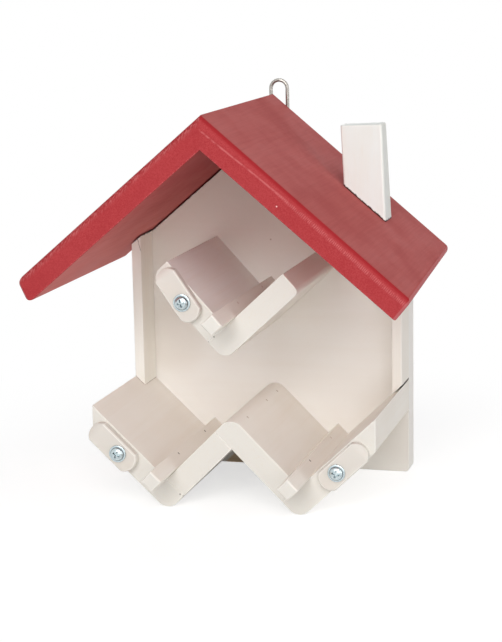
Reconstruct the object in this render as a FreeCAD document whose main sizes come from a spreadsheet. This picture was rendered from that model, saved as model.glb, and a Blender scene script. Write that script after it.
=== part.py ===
"""Bird feeder: a small wooden house with three V cradles that hold jars of peanut butter on their sides.

Frame: +X to the right, +Y to the back, +Z up, millimetres. The origin is the middle of the footprint on the
ground: halfway across the roof, and halfway from the roof's front edge to the back of the hanger's screws.
"""
import FreeCAD, Part
import math
import os
import re
import Sketcher

# Two points closer than this are the same point
TOUCH = 0.001

# Driving dimensions in millimetres and degrees
SIZES = {
    # back panel and wall strips
    "house_width": 193,
    "panel_thickness": 18,
    "panel_corner_round": 3,
    "strip_thickness": 7,
    "strip_depth": 26,
    # roof
    "ridge_height": 264,
    "ridge_offset": 3,
    "roof_pitch": 40.3,
    "roof_thickness": 16,
    "eave_reach": 127,
    "roof_overhang": 45,
    "eave_skew": 6,
    "eave_undercut": 4,
    "roof_front_round": 5,
    "eave_round": 2.5,
    # chimney
    "chimney_reach": 64.5,
    "chimney_setback": 114,
    "chimney_width": 28,
    "chimney_depth": 16,
    "chimney_height": 40,
    "chimney_lean": 3,
    "chimney_bevel": 1,
    # cradle arms
    "arm_thickness": 16,
    "cradle_depth": 115,
    "cradle_pitch": 91,
    "outer_arm_angle": 43.5,
    "inner_arm_angle": 45,
    "lower_round": 9,
    "outer_end_round": 3,
    "upper_height": 124,
    "upper_offset": 2.5,
    "upper_arm_angle": 45,
    "upper_tilt": 2.5,
    "upper_left_length": 57,
    "upper_right_length": 53,
    "upper_round": 8,
    "upper_left_end_round": 9,
    "upper_right_end_round": 4,
    # perches
    "perch_side": 10,
    "perch_reach": 32,
    "perch_bevel": 0.8,
    # turn buttons
    "button_width": 16,
    "button_long": 25,
    "button_short": 14,
    "button_thickness": 6,
    "button_end_radius": 9,
    "button_bevel": 0.8,
    "button_play": 0.2,
    "upper_button_turn": 8,
    # screws that the buttons turn on
    "pivot_inset": 9,
    "upper_pivot_reach": 30,
    "left_pivot_reach": 35,
    "right_pivot_reach": 28,
    "pivot_diameter": 4.2,
    "pivot_depth": 25,
    "pivot_head": 8.4,
    "pivot_head_height": 2.2,
    "pivot_head_bevel": 1.2,
    "pivot_flange": 11.6,
    "pivot_flange_thickness": 1,
    # countersunk screws through the back panel
    "screw_diameter": 4,
    "screw_length": 40,
    "screw_head": 8,
    "outer_screw_reach": 42,
    "upper_screw_reach": 32,
    # brads
    "brad_width": 1.6,
    "brad_thickness": 1.2,
    "brad_length": 24,
    "perch_brad_inset": 3,
    "perch_brad_front": 22,
    "perch_brad_back": 83,
    "peak_brad_front": 21,
    "peak_brad_middle": 70,
    "peak_brad_back": 98,
    # hanging loop and its screws
    "wire_diameter": 2.6,
    "loop_offset": 1,
    "loop_rise": 11.3,
    "loop_width": 14.4,
    "lug_drop": 30,
    "lug_rise": 7,
    "lug_width": 8.8,
    "lug_thickness": 1.6,
    "hanger_screw_depth": 14,
    "hanger_head": 8,
    "hanger_head_height": 2.4,
    # cross recess of the pivot screws, and the clearance round what sits in a hole
    "recess_span": 4.4,
    "recess_width": 1.1,
    "recess_depth": 1.3,
    "fit_clearance": 0.05,
}

# Places that several pieces share, as formulas over the sizes
CRADLE_FRONT = ("((roof_overhang - cradle_depth - panel_thickness - lug_thickness - 2 * fit_clearance"
                " - hanger_head_height) / 2)")
PANEL_FRONT = f"({CRADLE_FRONT} + cradle_depth)"
PANEL_BACK = f"({PANEL_FRONT} + panel_thickness)"
ROOF_FRONT = f"({CRADLE_FRONT} - roof_overhang)"
ROOF_DEPTH = "(roof_overhang + cradle_depth + panel_thickness)"
RIDGE_X = "(-ridge_offset)"
UNDER_RIDGE = "(ridge_height - roof_thickness / cos(roof_pitch))"
THICK = "arm_thickness"
HALF_WIDTH = "(house_width / 2)"
HALF_PITCH = "(cradle_pitch / 2)"
LOWER_CORNER = ("(lower_round + (arm_thickness - lower_round)"
                " * (sin(outer_arm_angle) + cos(outer_arm_angle)))")
OUTER_LENGTH = f"(({HALF_WIDTH} - {HALF_PITCH}) / cos(outer_arm_angle))"
PEAK_LENGTH = f"({HALF_PITCH} / cos(inner_arm_angle))"
FLANGE_SEAT = "(button_thickness + 2 * button_play)"
LUG_SEAT = "(lug_thickness + 2 * fit_clearance)"
LUG_HEIGHT = f"({UNDER_RIDGE} - lug_drop)"
LOOP_RADIUS = "((loop_width - wire_diameter) / 2)"

doc = FreeCAD.newDocument("BirdFeeder")
sheet = doc.addObject("Spreadsheet::Sheet", "Sizes")
for row, (size_name, size_value) in enumerate(SIZES.items(), start=1):
    sheet.set(f"A{row}", size_name)
    sheet.set(f"B{row}", str(size_value))
    sheet.setAlias(f"B{row}", size_name)
doc.recompute()


def linked(formula):
    """Formula with each size's name turned into a reference to its cell."""
    return re.sub("[a-z_]+", lambda word: f"Sizes.{word[0]}" if word[0] in SIZES else word[0], formula)


def number(formula):
    """Present value of a formula, in millimetres or degrees."""
    value = sheet.evalExpression(linked(formula))
    return float(getattr(value, "Value", value))


def place(item, x, y, z, axis=(0, 1, 0), angle="0"):
    """Put an object at (x, y, z), turned by an angle about an axis."""
    spot = FreeCAD.Vector(number(x), number(y), number(z))
    item.Placement = FreeCAD.Placement(spot, FreeCAD.Rotation(FreeCAD.Vector(axis), number(angle)))
    for letter, formula in zip("xyz", (x, y, z)):
        item.setExpression(f"Placement.Base.{letter}", linked(formula))
    if angle != "0":
        item.setExpression("Placement.Rotation.Angle", linked(angle))


def place_from_back(item, x, y, z):
    """Put a screw or its bore at (x, y, z) with its head towards the back."""
    place(item, x, y, z, (0, 0, 1), "180")


class ArmFrame:
    """Place of one cradle arm: its corner in the V, and the slope of its inner face.

    Inside the frame 'along' runs up the inner face from the corner and 'deep' runs down into the board.
    Side is 1 for an arm that rises to the right and -1 for one that rises to the left. An arm that is screwed
    to the back panel has its screw at the screw reach along it; the others are nailed to their neighbours.
    """

    def __init__(self, side, x, z, angle, screw_reach=None):
        self.side = side
        self.x = x
        self.z = z
        self.angle = angle
        self.screw_reach = screw_reach

    def local(self, along, deep):
        """Point of the arm in its own frame, as a pair of formulas."""
        return f"{self.side} * ({along})", f"-({deep})"

    def point(self, along, deep):
        """Point of the arm in the feeder's frame, as a pair of formulas."""
        x = f"({self.x} + {self.side} * (({along}) * cos({self.angle}) + ({deep}) * sin({self.angle})))"
        z = f"({self.z} + ({along}) * sin({self.angle}) - ({deep}) * cos({self.angle}))"
        return x, z

    def hold(self, item, y, along="0", deep="0", turn="0"):
        """Place an object at a point of this frame, turned a little further if asked."""
        x, z = self.point(along, deep)
        place(item, x, y, z, (0, -self.side, 0), f"{self.angle} + {turn}")


UPPER_X = "(-upper_offset)"
LEFT_X = f"(-{HALF_PITCH})"
LEFT_RISE = "(upper_arm_angle + upper_tilt)"
RIGHT_RISE = "(upper_arm_angle - upper_tilt)"
ARMS = {
    "upper_cradle_left_arm": ArmFrame(-1, UPPER_X, "upper_height", LEFT_RISE, "upper_screw_reach"),
    "upper_cradle_right_arm": ArmFrame(1, UPPER_X, "upper_height", RIGHT_RISE, "upper_screw_reach"),
    "lower_left_outer_arm": ArmFrame(-1, LEFT_X, LOWER_CORNER, "outer_arm_angle", "outer_screw_reach"),
    "lower_left_inner_arm": ArmFrame(1, LEFT_X, LOWER_CORNER, "inner_arm_angle"),
    "lower_right_inner_arm": ArmFrame(-1, HALF_PITCH, LOWER_CORNER, "inner_arm_angle"),
    "lower_right_outer_arm": ArmFrame(1, HALF_PITCH, LOWER_CORNER, "outer_arm_angle", "outer_screw_reach"),
}


def new_body(label):
    """Empty body with its own label."""
    body = doc.addObject("PartDesign::Body", label)
    body.Label = label
    return body


def sketch_on(body, role, offset="0"):
    """Sketch on one of the body's own origin planes, moved along the plane's normal."""
    sketch = body.newObject("Sketcher::SketchObject", f"{body.Name}_sketch")
    plane = next(item for item in body.Origin.OriginFeatures if item.Role == role)
    sketch.AttachmentSupport = [(plane, "")]
    sketch.MapMode = "FlatFace"
    sketch.AttachmentOffset = FreeCAD.Placement(FreeCAD.Vector(0, 0, number(offset)), FreeCAD.Rotation())
    sketch.setExpression("AttachmentOffset.Base.z", linked(offset))
    return sketch


def fix_point(sketch, geometry, end, x, y):
    """Tie one point of a sketch to a pair of formulas, measured from the sketch's origin."""
    for kind, formula in (("DistanceX", x), ("DistanceY", y)):
        index = sketch.addConstraint(Sketcher.Constraint(kind, -1, 1, geometry, end, number(formula)))
        sketch.setExpression(f"Constraints[{index}]", linked(formula))


def fix_height(sketch, geometry, end, y):
    """Tie one point of a sketch to a formula, measured up from the sketch's origin."""
    index = sketch.addConstraint(Sketcher.Constraint("DistanceY", -1, 1, geometry, end, number(y)))
    sketch.setExpression(f"Constraints[{index}]", linked(y))


def fix_radius(sketch, geometry, formula):
    """Tie the radius of a circle or an arc to a formula."""
    index = sketch.addConstraint(Sketcher.Constraint("Radius", geometry, number(formula)))
    sketch.setExpression(f"Constraints[{index}]", linked(formula))


def draw_outline(sketch, corners):
    """Closed outline of straight lines through corners given as pairs of formulas."""
    spots = [FreeCAD.Vector(number(x), number(y), 0) for x, y in corners]
    for start, end in zip(spots, spots[1:] + spots[:1]):
        sketch.addGeometry(Part.LineSegment(start, end))
    for index, (x, y) in enumerate(corners):
        before = (index - 1) % len(corners)
        sketch.addConstraint(Sketcher.Constraint("Coincident", before, 2, index, 1))
        fix_point(sketch, index, 1, x, y)


def draw_circle(sketch, x, y, radius):
    """Circle with its centre and radius tied to formulas."""
    centre = FreeCAD.Vector(number(x), number(y), 0)
    circle = sketch.addGeometry(Part.Circle(centre, FreeCAD.Vector(0, 0, 1), number(radius)))
    fix_point(sketch, circle, 3, x, y)
    fix_radius(sketch, circle, radius)


def draw_arc(sketch, x, y, radius, start, end):
    """Arc about a centre given by formulas, drawn from one angle to another in degrees."""
    centre = FreeCAD.Vector(number(x), number(y), 0)
    circle = Part.Circle(centre, FreeCAD.Vector(0, 0, 1), number(radius))
    arc = sketch.addGeometry(Part.ArcOfCircle(circle, math.radians(start), math.radians(end)))
    fix_point(sketch, arc, 3, x, y)
    return arc


def draw_line(sketch, start, end):
    """Straight line that the curves at its ends will hold."""
    spots = [FreeCAD.Vector(number(x), number(y), 0) for x, y in (start, end)]
    return sketch.addGeometry(Part.LineSegment(*spots))


def join_by_line(sketch, start, end):
    """Straight line from one point of a sketch to another, each given as a curve and the end of it."""
    line = sketch.addGeometry(Part.LineSegment(sketch.getPoint(*start), sketch.getPoint(*end)))
    sketch.addConstraint(Sketcher.Constraint("Coincident", *start, line, 1))
    sketch.addConstraint(Sketcher.Constraint("Coincident", line, 2, *end))


def join_smoothly(sketch, first, first_end, second, second_end):
    """Make two curves meet end to end, tangent to each other."""
    sketch.addConstraint(Sketcher.Constraint("Tangent", first, first_end, second, second_end))


def pad(body, sketch, length):
    """Pad a sketch of the XZ plane towards +Y."""
    feature = body.newObject("PartDesign::Pad", f"{body.Name}_pad")
    feature.Profile = sketch
    feature.setExpression("Length", linked(length))
    feature.Reversed = True
    doc.recompute()


def pocket(body, sketch, depth):
    """Cut a sketch into the body against the sketch's normal, and make sure that it removes material."""
    before = body.Shape.Volume
    feature = body.newObject("PartDesign::Pocket", f"{body.Name}_pocket")
    feature.Profile = sketch
    feature.setExpression("Length", linked(depth))
    doc.recompute()
    if body.Shape.Volume >= before:
        raise RuntimeError(f"{body.Label}: a pocket cuts nothing")


def treat_edges(body, kind, measure, formula, wanted):
    """Fillet or chamfer the edges of the body's last feature for which wanted(edge) is true."""
    base = body.Tip
    names = [f"Edge{index}" for index, edge in enumerate(base.Shape.Edges, start=1) if wanted(edge)]
    if not names:
        raise RuntimeError(f"{body.Label}: no edge to treat")
    feature = body.newObject(f"PartDesign::{kind}", f"{body.Name}_{kind}")
    feature.Base = (base, names)
    feature.setExpression(measure, linked(formula))
    doc.recompute()


def round_edges(body, radius, wanted):
    """Round the edges for which wanted(edge) is true."""
    treat_edges(body, "Fillet", "Radius", radius, wanted)


def bevel_edges(body, size, wanted):
    """Take a flat bevel off the edges for which wanted(edge) is true."""
    treat_edges(body, "Chamfer", "Size", size, wanted)


def runs_back(*corners):
    """Test for edges parallel to Y that pass through one of the corners, given as pairs of formulas."""
    spots = [(number(x), number(z)) for x, z in corners]

    def wanted(edge):
        box = edge.BoundBox
        straight = box.XLength < TOUCH and box.ZLength < TOUCH
        return straight and any(abs(box.XMin - x) < TOUCH and abs(box.ZMin - z) < TOUCH for x, z in spots)

    return wanted


def lies_at(axis, formula):
    """Test for edges that lie in the plane where one coordinate has the given value."""
    level = number(formula)

    def wanted(edge):
        low = getattr(edge.BoundBox, f"{axis}Min")
        high = getattr(edge.BoundBox, f"{axis}Max")
        return abs(low - level) < TOUCH and abs(high - level) < TOUCH

    return wanted


def board(label, corners, length):
    """Board with a straight-sided outline in XZ, padded towards +Y."""
    body = new_body(label)
    sketch = sketch_on(body, "XZ_Plane")
    draw_outline(sketch, corners)
    pad(body, sketch, length)
    return body


def turned(label, outline):
    """Solid of revolution about the body's Y axis, from (radius, y) pairs of formulas."""
    body = new_body(label)
    sketch = sketch_on(body, "XY_Plane")
    draw_outline(sketch, outline)
    feature = body.newObject("PartDesign::Revolution", f"{label}_turn")
    feature.Profile = sketch
    feature.ReferenceAxis = (sketch, ["V_Axis"])
    feature.Angle = 360
    doc.recompute()
    return body


def cut_recess(body, face_height):
    """Cross recess in a screw's head, whose face lies this far from the body's origin on the -Y side."""
    span = "(recess_span / 2)"
    half = "(recess_width / 2)"
    corners = [(span, half), (half, half), (half, span),
               (f"-{half}", span), (f"-{half}", half), (f"-{span}", half),
               (f"-{span}", f"-{half}"), (f"-{half}", f"-{half}"), (f"-{half}", f"-{span}"),
               (half, f"-{span}"), (half, f"-{half}"), (span, f"-{half}")]
    sketch = sketch_on(body, "XZ_Plane", face_height)
    draw_outline(sketch, corners)
    pocket(body, sketch, "recess_depth")


def group(label, items):
    """Several solids under one name."""
    compound = doc.addObject("Part::Compound", label)
    compound.Label = label
    compound.Links = items
    return compound


def drilled(label, item, bores):
    """A piece with the bores of its fasteners cut out of it."""
    cut = doc.addObject("Part::Cut", label)
    cut.Label = label
    cut.Base = item
    cut.Tool = group(f"{label}_bores", bores)
    return cut


def back_panel():
    """Five-sided board behind everything, with its lower corners rounded off."""
    left_top = f"{UNDER_RIDGE} - ({HALF_WIDTH} - ridge_offset) * tan(roof_pitch)"
    right_top = f"{UNDER_RIDGE} - ({HALF_WIDTH} + ridge_offset) * tan(roof_pitch)"
    left_foot = (f"-{HALF_WIDTH}", "0")
    right_foot = (HALF_WIDTH, "0")
    gable = [(HALF_WIDTH, right_top), (RIDGE_X, UNDER_RIDGE), (f"-{HALF_WIDTH}", left_top)]
    body = board("back_panel_board", [left_foot, right_foot] + gable, "panel_thickness")
    round_edges(body, "panel_corner_round", runs_back(left_foot, right_foot))
    place(body, "0", PANEL_FRONT, "0")
    return body


def wall_strip(label, side):
    """Thin wall between an outer arm and the roof, cut to both slopes, flush with the panel's side."""
    inner_reach = f"({HALF_WIDTH} - strip_thickness)"
    corners = []
    for reach in (HALF_WIDTH, inner_reach):
        foot = f"{LOWER_CORNER} + ({reach} - {HALF_PITCH}) * tan(outer_arm_angle)"
        corners.append((f"{side} * {reach}", foot))
    for reach in (inner_reach, HALF_WIDTH):
        head = f"{UNDER_RIDGE} - ({reach} + {side} * ridge_offset) * tan(roof_pitch)"
        corners.append((f"{side} * {reach}", head))
    body = board(label, corners, "strip_depth")
    place(body, "0", f"{PANEL_FRONT} - strip_depth", "0")
    return body


def roof_board(label, side):
    """Sloping board, cut plumb at the ridge, with a rounded front arris and a rough-sawn eave."""
    run = f"((eave_reach + {side} * ridge_offset) / cos(roof_pitch))"
    plumb = "(roof_thickness * tan(roof_pitch))"
    # the left eave's cut leans outwards, so the underside reaches further than the top
    toe = run if side > 0 else f"({run} + eave_undercut)"
    top = [("0", "0"), (f"{side} * {run}", "0")]
    underside = [(f"{side} * {toe}", "-roof_thickness"), (f"{side} * {plumb}", "-roof_thickness")]
    body = board(label, top + underside, ROOF_DEPTH)
    if side > 0:
        # the right eave is sawn out of square, so the board narrows towards the back
        sketch = sketch_on(body, "XY_Plane")
        draw_outline(sketch, [(run, "0"), (run, ROOF_DEPTH), (f"{run} - eave_skew", ROOF_DEPTH)])
        pocket(body, sketch, "roof_thickness")
    on_top = lies_at("Z", "0")
    in_front = lies_at("Y", "0")
    round_edges(body, "roof_front_round", lambda edge: on_top(edge) and in_front(edge))
    nearest = number(f"{run} - eave_skew") - TOUCH

    def at_eave(edge):
        return on_top(edge) and min(abs(edge.BoundBox.XMin), abs(edge.BoundBox.XMax)) > nearest

    round_edges(body, "eave_round", at_eave)
    place(body, RIDGE_X, ROOF_FRONT, "ridge_height", (0, side, 0), "roof_pitch")
    return body


def chimney_block(label):
    """Block that stands on the right slope, leaning towards the ridge, with its base cut to the slope."""
    foot = "(chimney_width / cos(roof_pitch + chimney_lean))"
    right_foot = (f"{foot} * cos(roof_pitch)", f"-{foot} * sin(roof_pitch)")
    left_top = ("-chimney_height * sin(chimney_lean)", "chimney_height * cos(chimney_lean)")
    right_top = (f"{left_top[0]} + chimney_width * cos(chimney_lean)",
                 f"{left_top[1]} + chimney_width * sin(chimney_lean)")
    body = board(label, [("0", "0"), right_foot, right_top, left_top], "chimney_depth")
    slope = FreeCAD.Vector(number("sin(roof_pitch)"), 0, number("cos(roof_pitch)"))

    def above_base(edge):
        return max(corner.Point.dot(slope) for corner in edge.Vertexes) > TOUCH

    bevel_edges(body, "chimney_bevel", above_base)
    x = f"{RIDGE_X} + chimney_reach"
    place(body, x, f"{ROOF_FRONT} + chimney_setback", "ridge_height - chimney_reach * tan(roof_pitch)")
    return body


def cradle_arm(label, corners, rounds):
    """Board of a V cradle; corners and rounds are given along and deep in the arm's frame."""
    frame = ARMS[label]
    body = board(f"{label}_board", [frame.local(*corner) for corner in corners], "cradle_depth")
    for radius, corner in rounds:
        round_edges(body, radius, runs_back(frame.local(*corner)))
    frame.hold(body, CRADLE_FRONT)
    return body


def perch(label, frame):
    """Square stick that lies in a V's corner against its left arm, from the panel out past the front."""
    corners = [("0", "0"), ("-perch_side", "0"), ("-perch_side", "perch_side"), ("0", "perch_side")]
    body = board(label, corners, "perch_reach + cradle_depth")
    bevel_edges(body, "perch_bevel", lies_at("Y", "0"))
    frame.hold(body, f"{CRADLE_FRONT} - perch_reach")
    return body


def turn_button(label, frame, reach, turn):
    """Flat tab with bowed ends, bored for its screw, that keeps a jar from sliding out."""
    body = new_body(label)
    sketch = sketch_on(body, "XZ_Plane")
    half_width = "(button_width / 2)"
    outward = f"{frame.side} * (button_long - button_end_radius)"
    inward = f"-{frame.side} * (button_short - button_end_radius)"
    left, right = (inward, outward) if frame.side > 0 else (outward, inward)
    spread = math.degrees(math.asin(number(half_width) / number("button_end_radius")))
    right_end = draw_arc(sketch, right, "0", "button_end_radius", -spread, spread)
    left_end = draw_arc(sketch, left, "0", "button_end_radius", 180 - spread, 180 + spread)
    for end in (right_end, left_end):
        fix_radius(sketch, end, "button_end_radius")
    fix_height(sketch, right_end, 2, half_width)
    fix_height(sketch, left_end, 1, half_width)
    fix_height(sketch, left_end, 2, f"-{half_width}")
    fix_height(sketch, right_end, 1, f"-{half_width}")
    join_by_line(sketch, (right_end, 2), (left_end, 1))
    join_by_line(sketch, (left_end, 2), (right_end, 1))
    pad(body, sketch, "button_thickness")
    bevel_edges(body, "button_bevel", lies_at("Y", "0"))
    bore = sketch_on(body, "XZ_Plane")
    draw_circle(bore, "0", "0", "pivot_diameter / 2 + fit_clearance")
    pocket(body, bore, "button_thickness")
    frame.hold(body, f"{CRADLE_FRONT} - button_play - button_thickness", reach, "pivot_inset", turn)
    return body


def hanger_screw(label):
    """Screw with a low flat head, whose underside lies at the origin; the shank runs to +Y."""
    length = f"({LUG_SEAT} + hanger_screw_depth)"
    outline = [("0", length), ("screw_diameter / 2", length), ("screw_diameter / 2", "0"),
               ("hanger_head / 2", "0"), ("hanger_head / 2", "-hanger_head_height"),
               ("0", "-hanger_head_height")]
    return turned(label, outline)


def flanged_screw(label, length):
    """Pivot screw: a low head on a wide thin flange that holds the button."""
    top = "(pivot_flange_thickness + pivot_head_height)"
    outline = [("0", length), ("pivot_diameter / 2", length), ("pivot_diameter / 2", "0"),
               ("pivot_flange / 2", "0"), ("pivot_flange / 2", "-pivot_flange_thickness"),
               ("pivot_head / 2", "-pivot_flange_thickness"), ("pivot_head / 2", f"-{top}"),
               ("0", f"-{top}")]
    body = turned(label, outline)
    bevel_edges(body, "pivot_head_bevel", lies_at("Y", f"-{top}"))
    cut_recess(body, top)
    return body


def countersunk_outline(clearance):
    """Half section of a countersunk screw, or of its bore with some clearance all round."""
    shank = f"(screw_diameter / 2 + {clearance})"
    head = f"(screw_head / 2 + {clearance})"
    return [("0", "0"), (head, "0"), (shank, f"{head} - {shank}"), (shank, "screw_length"),
            ("0", "screw_length")]


def plain_bore(label, diameter, length):
    """Bore for a shank, from the origin towards +Y."""
    radius = f"({diameter} / 2 + fit_clearance)"
    return turned(label, [("0", "0"), (radius, "0"), (radius, length), ("0", length)])


def brad(label, frame, y, along, top, clearance="0"):
    """Headless flat nail, square to an arm's inner face, whose end stands this far above that face."""
    width = f"(brad_width + 2 * {clearance})"
    thickness = f"(brad_thickness + 2 * {clearance})"
    nail = doc.addObject("Part::Box", label)
    nail.Label = label
    nail.setExpression("Length", linked(width))
    nail.setExpression("Width", linked(thickness))
    nail.setExpression("Height", linked("brad_length"))
    edge = f"{along} - {frame.side} * {width} / 2"
    frame.hold(nail, f"{CRADLE_FRONT} + {y} - {thickness} / 2", edge, f"brad_length - {top}")
    return nail


def draw_slot(sketch, x, low, high, radius):
    """Upright slot between two centres on one line, all given as formulas."""
    top = draw_arc(sketch, x, high, radius, 0, 180)
    bottom = draw_arc(sketch, x, low, radius, 180, 360)
    fix_radius(sketch, top, radius)
    sketch.addConstraint(Sketcher.Constraint("Equal", top, bottom))
    left = draw_line(sketch, (f"{x} - {radius}", high), (f"{x} - {radius}", low))
    right = draw_line(sketch, (f"{x} + {radius}", low), (f"{x} + {radius}", high))
    join_smoothly(sketch, top, 2, left, 1)
    join_smoothly(sketch, left, 2, bottom, 1)
    join_smoothly(sketch, bottom, 2, right, 1)
    join_smoothly(sketch, right, 2, top, 1)


def hanging_loop(label):
    """Wire bent into a narrow arch, the ends of its two legs beaten flat into lugs with a screw hole."""
    body = new_body(label)
    arch_height = "(ridge_height + loop_rise - loop_width / 2)"
    leg_foot = f"({LUG_HEIGHT} + lug_rise)"
    path = sketch_on(body, "XZ_Plane")
    left_leg = draw_line(path, (f"-{LOOP_RADIUS}", leg_foot), (f"-{LOOP_RADIUS}", arch_height))
    arch = draw_arc(path, "0", arch_height, LOOP_RADIUS, 0, 180)
    right_leg = draw_line(path, (LOOP_RADIUS, arch_height), (LOOP_RADIUS, leg_foot))
    fix_radius(path, arch, LOOP_RADIUS)
    join_smoothly(path, left_leg, 2, arch, 2)
    join_smoothly(path, arch, 1, right_leg, 1)
    fix_height(path, left_leg, 1, leg_foot)
    fix_height(path, right_leg, 2, leg_foot)
    section = sketch_on(body, "XY_Plane", leg_foot)
    draw_circle(section, f"-{LOOP_RADIUS}", "0", "wire_diameter / 2")
    doc.recompute()
    wire = body.newObject("PartDesign::AdditivePipe", f"{label}_wire")
    wire.Profile = section
    wire.Spine = path
    doc.recompute()
    for side in (-1, 1):
        lug = sketch_on(body, "XZ_Plane", "wire_diameter / 2")
        draw_slot(lug, f"({side} * {LOOP_RADIUS})", LUG_HEIGHT, leg_foot, "(lug_width / 2)")
        pad(body, lug, "lug_thickness")
    hole = sketch_on(body, "XZ_Plane", "wire_diameter / 2")
    for side in (-1, 1):
        draw_circle(hole, f"{side} * {LOOP_RADIUS}", LUG_HEIGHT, "screw_diameter / 2 + fit_clearance")
    pocket(body, hole, "lug_thickness")
    place(body, "loop_offset", f"{PANEL_BACK} + fit_clearance + wire_diameter / 2", "0")
    return body


# House: panel, walls, roof and chimney
panel = back_panel()
nodes = [
    wall_strip("left_wall_strip", -1),
    wall_strip("right_wall_strip", 1),
    roof_board("roof_board_left", -1),
    roof_board("roof_board_right", 1),
    chimney_block("chimney_block"),
]

# Cradle arms: in each V one arm runs through to the bottom and the other butts on it
outer_foot = f"{OUTER_LENGTH} - {THICK} * tan(outer_arm_angle)"
outer_corners = [(f"-{THICK}", "0"), (OUTER_LENGTH, "0"), (outer_foot, THICK), (f"-{THICK}", THICK)]
outer_rounds = [("lower_round", (f"-{THICK}", THICK)), ("outer_end_round", (outer_foot, THICK))]
butt_foot = f"{THICK} * tan(90 - outer_arm_angle - inner_arm_angle)"
double_angle = "(2 * inner_arm_angle)"
under_peak = [(f"{PEAK_LENGTH} - {THICK} / sin{double_angle}", "0"),
              (f"{PEAK_LENGTH} - {THICK} * tan(inner_arm_angle)", THICK)]
peak_lean = f"{THICK} * cos{double_angle} / sin{double_angle}"
over_peak = [(PEAK_LENGTH, "0"), (f"{PEAK_LENGTH} + {peak_lean}", THICK)]
upper_left_corners = [("0", "0"), ("upper_left_length", "0"), ("upper_left_length", THICK), ("0", THICK)]
upper_right_corners = [(f"-{THICK}", "0"), ("upper_right_length", "0"), ("upper_right_length", THICK),
                       (f"-{THICK}", THICK)]
boards = {
    "upper_cradle_left_arm": cradle_arm(
        "upper_cradle_left_arm", upper_left_corners,
        [("upper_left_end_round", ("upper_left_length", THICK))]),
    "upper_cradle_right_arm": cradle_arm(
        "upper_cradle_right_arm", upper_right_corners,
        [("upper_round", (f"-{THICK}", THICK)), ("upper_right_end_round", ("upper_right_length", THICK))]),
    "lower_left_outer_arm": cradle_arm("lower_left_outer_arm", outer_corners, outer_rounds),
    "lower_left_inner_arm": cradle_arm(
        "lower_left_inner_arm", [("0", "0")] + under_peak + [(butt_foot, THICK)], []),
    "lower_right_inner_arm": cradle_arm(
        "lower_right_inner_arm", [("0", "0")] + over_peak + [(butt_foot, THICK)],
        [("lower_round", (PEAK_LENGTH, "0"))]),
    "lower_right_outer_arm": cradle_arm("lower_right_outer_arm", outer_corners, outer_rounds),
}
bores = {label: [] for label in boards}

# Perches, each nailed through into the left arm of its V
perch_homes = {
    "upper_perch": "upper_cradle_left_arm",
    "lower_left_perch": "lower_left_outer_arm",
    "lower_right_perch": "lower_right_inner_arm",
}
brad_along = "(perch_side - perch_brad_inset)"
perch_brads = []
for perch_label, home in perch_homes.items():
    stick = perch(f"{perch_label}_stick", ARMS[home])
    holes = []
    for end, y in (("front", "perch_brad_front"), ("back", "perch_brad_back")):
        name = f"{perch_label}_brad_{end}"
        perch_brads.append(brad(name, ARMS[home], y, brad_along, "perch_side"))
        holes.append(brad(f"{name}_bore", ARMS[home], y, brad_along, "perch_side", "fit_clearance"))
    bores[home] += holes
    nodes.append(drilled(perch_label, stick, holes))
nodes.append(group("perch_brads", perch_brads))

# Brads through the right inner arm into the end of the left one
peak_along = f"({PEAK_LENGTH} - {THICK} / 2)"
peak_brads = []
for y in ("peak_brad_front", "peak_brad_middle", "peak_brad_back"):
    over = ARMS["lower_right_inner_arm"]
    peak_brads.append(brad(f"{y}_pin", over, y, peak_along, "0"))
    hole = brad(f"{y}_bore", over, y, peak_along, "0", "fit_clearance")
    bores["lower_right_inner_arm"].append(hole)
    bores["lower_left_inner_arm"].append(hole)
nodes.append(group("peak_brads", peak_brads))

# Turn buttons on the front ends of three arms, each on its own flanged screw
buttons = {
    "upper_turn_button": ("upper_cradle_left_arm", "upper_pivot_reach", "upper_button_turn"),
    "left_turn_button": ("lower_left_outer_arm", "left_pivot_reach", "0"),
    "right_turn_button": ("lower_right_outer_arm", "right_pivot_reach", "0"),
}
pivot_screws = []
for button_label, (home, reach, turn) in buttons.items():
    nodes.append(turn_button(button_label, ARMS[home], reach, turn))
    pivot_x, pivot_z = ARMS[home].point(reach, "pivot_inset")
    screw = flanged_screw(f"{button_label}_screw", f"{FLANGE_SEAT} + pivot_depth")
    place(screw, pivot_x, f"{CRADLE_FRONT} - {FLANGE_SEAT}", pivot_z)
    pivot_screws.append(screw)
    hole = plain_bore(f"{button_label}_bore", "pivot_diameter", "pivot_depth")
    place(hole, pivot_x, CRADLE_FRONT, pivot_z)
    bores[home].append(hole)
nodes.append(group("pivot_screws", pivot_screws))

# Countersunk screws from the back of the panel into the upper and outer arms
panel_bores = []
panel_screws = []
screwed_arms = {label: frame for label, frame in ARMS.items() if frame.screw_reach}
for label, frame in screwed_arms.items():
    screw_x, screw_z = frame.point(frame.screw_reach, f"{THICK} / 2")
    screw = turned(f"{label}_screw", countersunk_outline("0"))
    hole = turned(f"{label}_screw_bore", countersunk_outline("fit_clearance"))
    for item in (screw, hole):
        place_from_back(item, screw_x, PANEL_BACK, screw_z)
    panel_screws.append(screw)
    panel_bores.append(hole)
    bores[label].append(hole)
nodes.append(group("panel_screws", panel_screws))

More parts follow.
